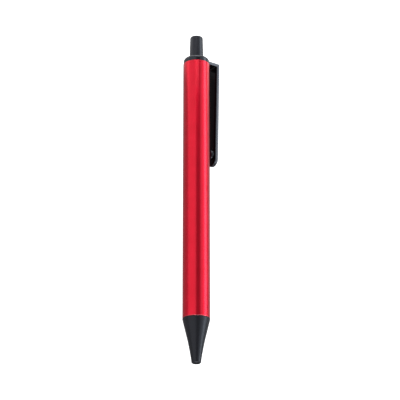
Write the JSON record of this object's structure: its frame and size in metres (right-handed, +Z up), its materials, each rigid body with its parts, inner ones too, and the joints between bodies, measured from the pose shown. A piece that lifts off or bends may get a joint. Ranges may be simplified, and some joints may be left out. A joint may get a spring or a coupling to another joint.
{
  "type": "retractable ballpoint pen",
  "caption": "Retractable ballpoint pen with a satin red metal barrel, black nose cone, domed collar with pocket clip and push button.",
  "frame": {"origin": "on the table under the middle of the lying pen's box", "axes": "+Y along the pen's axis towards the push button, +X towards the side that the clip is on, +Z up from the table that the barrel and one edge of the clip rest on"},
  "size_m": [0.016, 0.1402, 0.011],
  "materials": {
    "barrel": "satin red anodised",
    "nose": "black moulded plastic, semi-gloss",
    "collar": "black moulded plastic, semi-gloss",
    "button": "black moulded plastic, semi-gloss",
    "inner_plastic": "natural acetal",
    "spring": "drawn steel wire",
    "refill": "translucent white plastic",
    "ink": "blue-black paste",
    "grease": "clear amber gel",
    "tip": "turned",
    "ball": "polished"
  },
  "bodies": {
    "pen_body": {"barrel": "barrel", "thread_insert": "inner_plastic", "guide_sleeve": "inner_plastic", "clip_collar": "collar"},
    "nose": {"nose_cone": "nose", "return_spring": "spring"},
    "clip": {"pocket_clip": "collar"},
    "button": {"push_button": "button", "cam_plunger": "inner_plastic"},
    "refill": {"refill_tube": "refill", "ink_column": "ink", "grease_follower": "grease", "refill_tail": "refill", "tip_holder": "refill", "tip_body": "tip"},
    "rotor": {"rotor": "inner_plastic"},
    "ball": {"writing_ball": "ball"}
  },
  "joints": [
    {"name": "press", "type": "slide", "parent": "pen_body", "child": "button", "axis": [0, -1, 0], "range_m": [0, 0.006], "stiffness_N_per_m": 250, "springref_m": -0.006, "deforming": ["return_spring"]},
    {"name": "refill_feed", "type": "slide", "parent": "pen_body", "child": "refill", "axis": [0, -1, 0], "range_m": [0, 0.006]},
    {"name": "rotor_turn", "type": "hinge", "parent": "refill", "child": "rotor", "pos_m": [-0.00247, 0.03868, 0.0055], "axis": [0, 1, 0], "range_deg": [0, 56]},
    {"name": "nose_off", "type": "slide", "parent": "pen_body", "child": "nose", "axis": [0, -1, 0], "range_m": [0, 0.034]},
    {"name": "clip_flex", "type": "hinge", "parent": "pen_body", "child": "clip", "pos_m": [0.00445, 0.05948, 0.00349], "axis": [0.2793, 0, 0.9602], "range_deg": [0, 5], "stiffness_Nm_per_rad": 4},
    {"name": "ball_roll", "type": "hinge", "parent": "refill", "child": "ball", "pos_m": [-0.00247, -0.06782, 0.0055], "axis": [1, 0, 0], "continuous": true}
  ],
  "couplings": [
    {"joint": "refill_feed", "follows": "press", "ratio": 1},
    {"joint": "rotor_turn", "follows": "press", "rad_per_m": 162.9}
  ]
}
